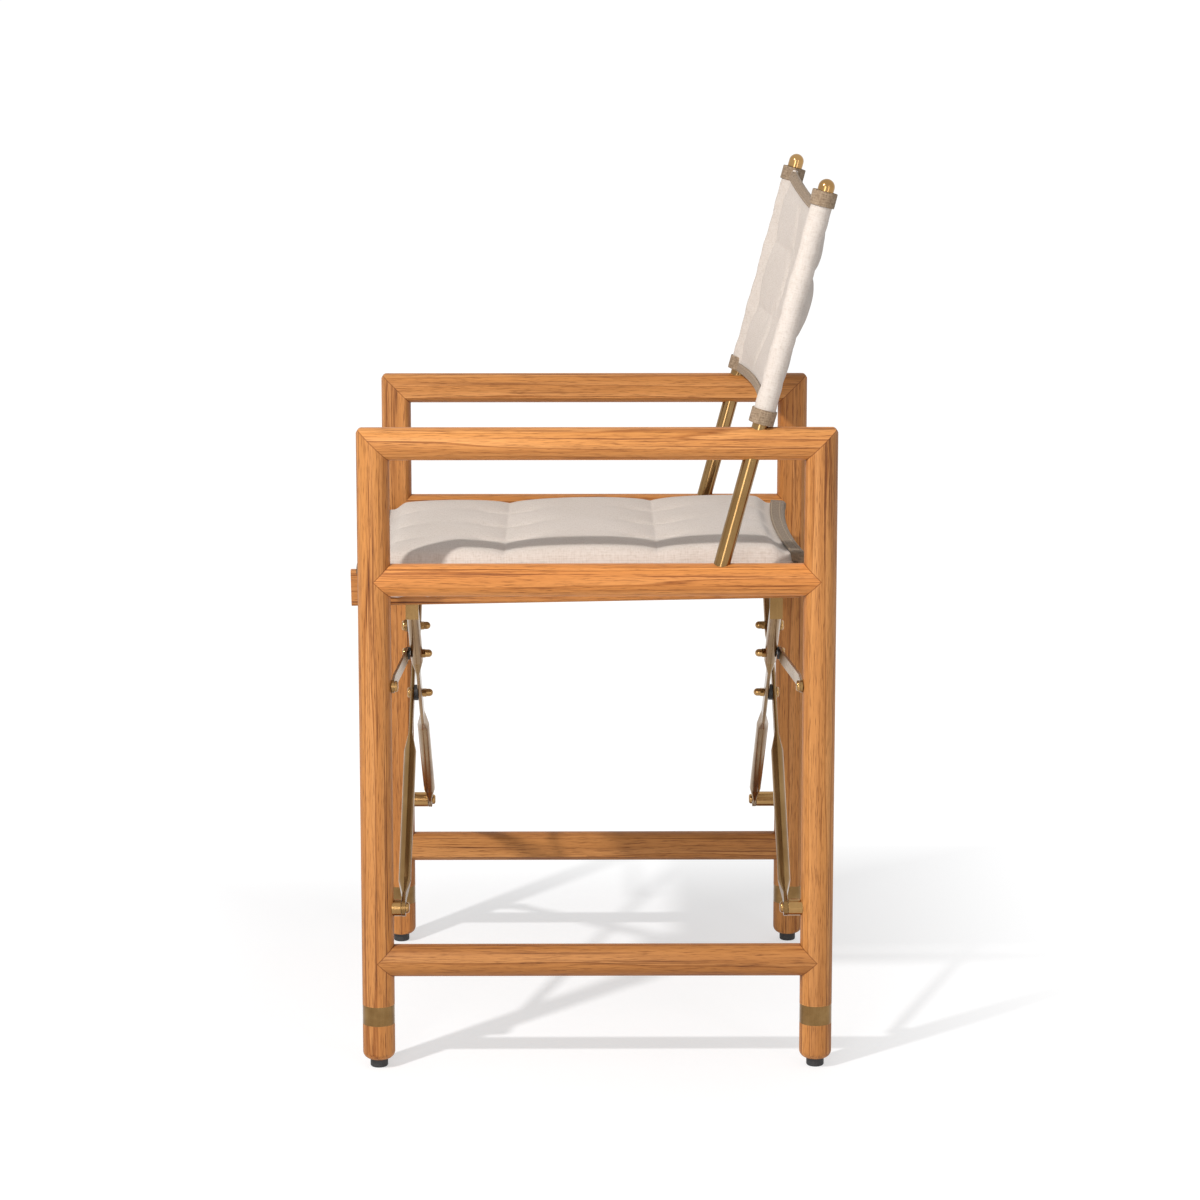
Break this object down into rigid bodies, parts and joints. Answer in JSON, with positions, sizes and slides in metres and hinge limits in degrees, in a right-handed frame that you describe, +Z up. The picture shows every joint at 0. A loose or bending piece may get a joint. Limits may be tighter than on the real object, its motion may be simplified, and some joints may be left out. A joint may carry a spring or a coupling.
{
  "type": "folding director's chair",
  "caption": "Folding director's chair with round timber side frames, crossed brass braces, a quilted sling seat and a quilted sling back on leaning posts.",
  "frame": {"origin": "on the floor, under the middle of the chair's overall box", "axes": "+Z up; the sitter faces -X; +Y is the sitter's right-hand side"},
  "size_m": [0.476, 0.498, 0.8784],
  "materials": {
    "teak": "oiled, satin",
    "brass": "satin, slightly aged",
    "linen": "woven, matte",
    "binding": "woven tape, matte",
    "rubber": "matte",
    "nylon": "matte"
  },
  "bodies": {
    "left_frame": {"left_front_leg": "teak", "left_rear_leg": "teak", "left_armrest": "teak", "left_seat_rail": "teak", "left_stretcher": "teak", "left_joint_dowels": "teak", "left_leg_ferrules": "brass", "left_feet": "rubber", "left_foot_screws": "brass", "left_back_post": "brass", "left_post_finial": "brass", "left_pivot_barrels": "brass", "left_pivot_screws": "brass", "left_link_screws": "brass", "left_back_sleeve": "linen", "left_sleeve_bands": "binding", "back_sling": "linen", "back_bindings": "binding"},
    "right_frame": {"right_front_leg": "teak", "right_rear_leg": "teak", "right_armrest": "teak", "right_seat_rail": "teak", "right_stretcher": "teak", "right_joint_dowels": "teak", "right_leg_ferrules": "brass", "right_feet": "rubber", "right_foot_screws": "brass", "right_back_post": "brass", "right_post_finial": "brass", "right_pivot_barrels": "brass", "right_pivot_screws": "brass", "right_link_screws": "brass", "right_back_sleeve": "linen", "right_sleeve_bands": "binding"},
    "cross_frame_a": {"front_brace_bar_a": "brass", "rear_brace_bar_a": "brass", "crossing_bolts": "brass", "crossing_spacers": "nylon", "crossing_acorn_nuts": "brass", "right_link_acorn_nuts": "brass", "right_seat_batten": "teak", "right_batten_screws": "brass", "right_seat_hem": "linen", "seat_sling": "linen", "seat_bindings": "binding"},
    "cross_frame_b": {"front_brace_bar_b": "brass", "rear_brace_bar_b": "brass", "left_link_acorn_nuts": "brass", "left_seat_batten": "teak", "left_batten_screws": "brass", "left_seat_hem": "linen"},
    "left_links": {"left_front_link": "brass", "left_rear_link": "brass", "left_link_washers": "nylon", "left_link_bolt_heads": "brass"},
    "right_links": {"right_front_link": "brass", "right_rear_link": "brass", "right_link_washers": "nylon", "right_link_bolt_heads": "brass"}
  },
  "joints": [
    {"name": "fold", "type": "hinge", "parent": "left_frame", "child": "cross_frame_a", "pos_m": [0.005, -0.233, 0.162], "axis": [1, 0, 0], "range_deg": [0, 35.36], "deforming": ["back_sling", "back_bindings", "seat_sling", "seat_bindings"]},
    {"name": "cross", "type": "hinge", "parent": "cross_frame_a", "child": "cross_frame_b", "pos_m": [0.005, 0, 0.33141], "axis": [1, 0, 0], "range_deg": [-70.72, 0]},
    {"name": "right_fold", "type": "hinge", "parent": "cross_frame_b", "child": "right_frame", "pos_m": [0.005, 0.233, 0.162], "axis": [1, 0, 0], "range_deg": [0, 35.36]},
    {"name": "left_link_swing", "type": "hinge", "parent": "left_frame", "child": "left_links", "pos_m": [0.005, -0.233, 0.385], "axis": [1, 0, 0], "range_deg": [0, 65.46]},
    {"name": "right_link_swing", "type": "hinge", "parent": "right_frame", "child": "right_links", "pos_m": [0.005, 0.233, 0.385], "axis": [1, 0, 0], "range_deg": [-65.46, 0]}
  ],
  "couplings": [
    {"joint": "cross", "follows": "fold", "ratio": -2},
    {"joint": "right_fold", "follows": "fold", "ratio": 1},
    {"joint": "left_link_swing", "follows": "fold", "ratio": 1.8509},
    {"joint": "right_link_swing", "follows": "fold", "ratio": -1.8509}
  ]
}
